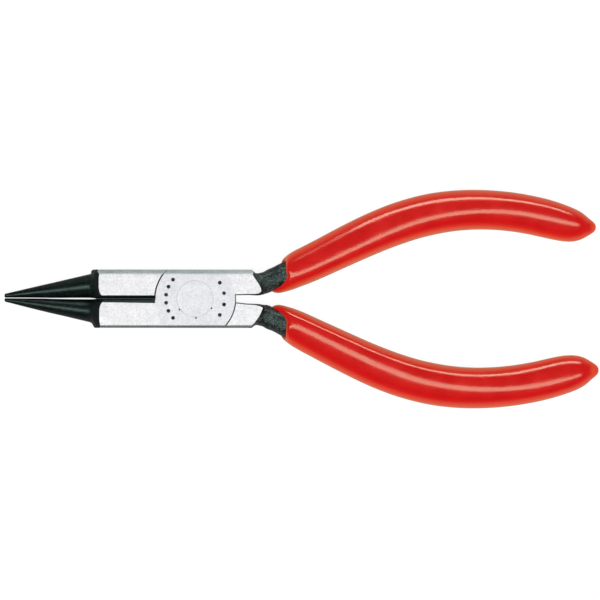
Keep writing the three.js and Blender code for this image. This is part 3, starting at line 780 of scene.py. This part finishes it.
def dipped_grip(name, which, seed):
    reach, stout = GRIP_REACH[which], GRIP_STOUT[which]

    def ramp01(x, a, b):
        t = np.clip((np.asarray(x, float) - a) / (b - a), 0, 1)
        return t * t * (3 - 2 * t)

    sides = 128
    ang = np.arange(sides) / sides * 2 * np.pi
    deg = np.degrees(np.arccos(np.clip(np.cos(ang), -1, 1)))
    c = np.cos(ang)
    face = np.sin(ang) * (1 if which == "front" else -1)
    toward = np.clip((face + 0.3) / 0.3, 0, 1)
    toward = toward * toward * (3 - 2 * toward)
    shift = mouth_shift(deg) * (1 - toward) + mouth_shift_face(deg) * toward
    tail = 87.9 - np.array([0, 0.07, 0.15, 0.26, 0.4, 0.55, 0.72, 0.9, 1.1, 1.35, 1.6, 1.9, 2.22, 2.6, 3.0, 3.5, 4.0, 4.6, 5.2, 6.0, 6.7, 7.3])
    body = np.linspace(79.8, 24.7, 76)
    lip = MOUTH_X + 4.0 * (np.linspace(1, 0, 26) ** 2.2)
    outside = list(tail) + list(body) + list(lip)
    cavity = [MOUTH_X + v for v in (0.0, 0.3, 0.8, 1.6, 2.5)] + list(np.linspace(24, 80, 29)) + [81.3, 82.4, 83.3, 83.9, 84.15]
    rows = []
    for station, is_out in [(s, True) for s in outside] + [(s, False) for s in cavity]:
        fade = max(0.0, 1 - (station - MOUTH_X) / MOUTH_FADE) ** 2
        x = station + shift * fade
        y, slope = handle_y(x)
        xs = x + (reach * ramp01(x, 64, 80) if is_out else 0)
        n = np.hypot(1, slope)
        nx, ny = -slope / n, 1 / n
        seat = 0.012 if station < MOUTH_X + 3 else 0.06
        tw, tz = tang_w(x) + seat, tang_z(x) + seat
        power = np.full(sides, 2.65 if station < 21 else 2.5)
        if is_out:
            d = station - MOUTH_X
            rise = np.where(c < 0, 0.36, 0.36 + 0.40 * c * c)
            k = 1 - np.exp(-d / rise)
            edge = 0.10 * min(1.0, math.sqrt(max(d, 0) / 0.10)) + 0.02      # rolled rim
            gw, gz = grip_w(x) * (1 + stout * ramp01(x, 42, 66)), grip_z(x)
            hw = tw + edge + (gw - tw - edge) * k
            hz = tz + edge + (gz - tz - edge) * k
            blend = 1 - np.exp(-d / 0.8)
            power = power + (GRIP_POWER - power) * blend
            if station > 80:
                power = power - (GRIP_POWER - 2.0) * min(1, (station - 80) / 6)
        else:
            hw, hz = tw, tz
        a, b = superellipse(ang, hw, hz, power)
        if is_out:
            a = a + crest(x) * hw * (1 - (a / hw) ** 2) * np.abs(b) / hz * blend
        if is_out and which == "rear":      # this one hangs in a little at its mouth
            a = a - 0.19 * k * (1 - ramp01(x, 21.0, 26.0))
        p = np.stack([xs + nx * a, y + ny * a, b], 1)
        if is_out and 22 < station < 86:
            # the coating ran and set in long, very shallow waves
            centre = np.stack([xs, y, np.zeros(sides)], 1)
            out = p - centre
            out /= np.linalg.norm(out, axis=1)[:, None]
            stretchy = p * np.array([0.35, 1, 1])
            w = wobble(stretchy, 0.11, seed) * 0.045 + wobble(stretchy, 0.45, seed + 4) * 0.006 - 0.045
            w *= (1 - math.cos(math.pi * min(1, (station - 22) / 8))) / 2 * min(1, (86 - station) / 3)
            p = p + out * w[:, None]
        rows.append(p)
    ye, _ = handle_y(GRIP_END_X)
    yc, _ = handle_y(84.3)
    obj = loft_object(name, rows, (GRIP_END_X + reach, float(ye), 0), (84.3, float(yc), 0), [PVC], 0)
    return obj


front_grip = dipped_grip("front_grip_coating", "front", 2)
rear_grip = dipped_grip("rear_grip_coating", "rear", 6)
bend(front_grip, 1)
bend(rear_grip, -1)
to_metres(front_grip)
to_metres(rear_grip, flip=True)
smooth(front_grip, 60)
smooth(rear_grip, 60)


# ------------------------------------------------------------------ bodies

for piece, body, node, slot in (
    (front_forging, "front", "front_half", "forged_steel"),
    (rear_forging, "rear", "rear_half", "forged_steel"),
    (joint_rivet, "rear", "rivet", "rivet_steel"),
    (front_grip, "front", "front_grip", "dipped_coating"),
    (rear_grip, "rear", "rear_grip", "dipped_coating"),
):
    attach(piece, body)
    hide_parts(node)


# ------------------------------------------------------------------ stage, lights, camera

def floor_material():
    g = Nodes("pale_floor")
    n = g.noise(g.mm((0.01, 0.01, 0.01)), 1.0, 2.0, 0.5)
    return g.set(
        Base_Color=g.mix(n, (0.11, 0.11, 0.11), (0.12, 0.12, 0.12)), Roughness=0.9, Specular_IOR_Level=0.1,
        Emission_Color=(1, 1, 1, 1), Emission_Strength=0.93,
    )


floor = new_object("floor", [(-3, -3, -0.0006), (3, -3, -0.0006), (3, 3, -0.0006), (-3, 3, -0.0006)], [(0, 1, 2, 3)], [floor_material()], [0])
floor.visible_glossy = False

# a pale surround far behind everything, seen by the camera only
rows = []
for k in range(0, 17):
    a = math.pi * (0.5 + 0.02) * k / 16
    rows.append([(2.9 * math.sin(a + 0.02) * math.cos(b), 2.9 * math.sin(a + 0.02) * math.sin(b), 2.9 * math.cos(a + 0.02)) for b in np.arange(48) / 48 * 2 * np.pi])
backdrop = loft_object("backdrop", rows, (0, 0, 2.9), (0, 0, -0.3), [], 0)
g = Nodes("pale_surround")
backdrop.data.materials.append(g.set(
    Base_Color=g.mix(g.noise(g.mm((0.001, 0.001, 0.001)), 1.0, 1.0, 0.5), (0.8, 0.8, 0.8), (0.82, 0.82, 0.82)),
    Roughness=1.0, Specular_IOR_Level=0.0, Emission_Color=(1, 1, 1, 1), Emission_Strength=0.9,
))
for ray in ("visible_glossy", "visible_diffuse", "visible_shadow", "visible_transmission", "visible_volume_scatter"):
    setattr(backdrop, ray, False)

CENTRE = Vector((0.022893, -0.000241, 0.0045))


def strip(name, direction_deg, distance, size_x, size_y, watts, color=(1, 1, 1)):
    """A soft light; direction is measured from straight up, towards +Y."""
    light = bpy.data.lights.new(name, "AREA")
    light.shape = "RECTANGLE"
    light.size = size_x
    light.size_y = size_y
    light.energy = watts
    light.color = color
    obj = bpy.data.objects.new(name, light)
    bpy.context.scene.collection.objects.link(obj)
    a = math.radians(direction_deg)
    back = Vector((0, math.sin(a), math.cos(a)))
    obj.location = CENTRE + back * distance
    x = Vector((1, 0, 0))
    obj.matrix_world = Matrix.Translation(obj.location) @ Matrix((x, back.cross(x), back)).transposed().to_4x4()
    obj.visible_camera = False
    return obj


strip("overhead", -7.0, 0.8, 1.6, 0.22, 5.72)
side = strip("side_strip", 65.0, 0.165, 0.21, 0.038, 0.21)
side.location.x = 0.073
side.visible_diffuse = False
fill = strip("fill", 0.0, 1.3, 2.4, 2.4, 16.0)
fill.visible_glossy = False

world = bpy.data.worlds.new("studio")
bpy.context.scene.world = world
world.use_nodes = True
wt = world.node_tree
wt.nodes.clear()
w_out = wt.nodes.new("ShaderNodeOutputWorld")
w_bg = wt.nodes.new("ShaderNodeBackground")
w_co = wt.nodes.new("ShaderNodeTexCoord")
w_sep = wt.nodes.new("ShaderNodeSeparateXYZ")
w_map = wt.nodes.new("ShaderNodeMapRange")
w_map.inputs["From Min"].default_value = -1.0
w_map.inputs["From Max"].default_value = 1.0
w_ramp = wt.nodes.new("ShaderNodeValToRGB")
wt.links.new(w_co.outputs["Generated"], w_sep.inputs[0])
wt.links.new(w_sep.outputs["Z"], w_map.inputs[0])
wt.links.new(w_map.outputs[0], w_ramp.inputs[0])
wt.links.new(w_ramp.outputs[0], w_bg.inputs[0])
wt.links.new(w_bg.outputs[0], w_out.inputs[0])
ramp = w_ramp.color_ramp
ramp.elements[0].position = 0.43
ramp.elements[0].color = (0.30, 0.30, 0.30, 1)
ramp.elements[1].position = 1.0
ramp.elements[1].color = (0.025, 0.025, 0.025, 1)
for at, level in ((0.485, 0.45), (0.53, 0.2), (0.72, 0.05)):
    e = ramp.elements.new(at)
    e.color = (level, level, level, 1)
w_bg.inputs[1].default_value = 1.0

scene = bpy.context.scene
scene.view_settings.view_transform = "Standard"
scene.view_settings.look = "None"
scene.view_settings.exposure = 0.0
scene.view_settings.gamma = 1.0

LENS, SENSOR, FRAME_WIDTH = 300.0, 36.0, 0.13132
cam_data = bpy.data.cameras.new("camera")
cam_data.lens = LENS
cam_data.sensor_width = SENSOR
cam_data.clip_start = 0.01
cam_data.clip_end = 10
camera = bpy.data.objects.new("camera", cam_data)
bpy.context.scene.collection.objects.link(camera)
camera.location = CENTRE + Vector((0, 0, FRAME_WIDTH * LENS / SENSOR))
camera.rotation_euler = (0, 0, math.radians(0.06))
scene.camera = camera
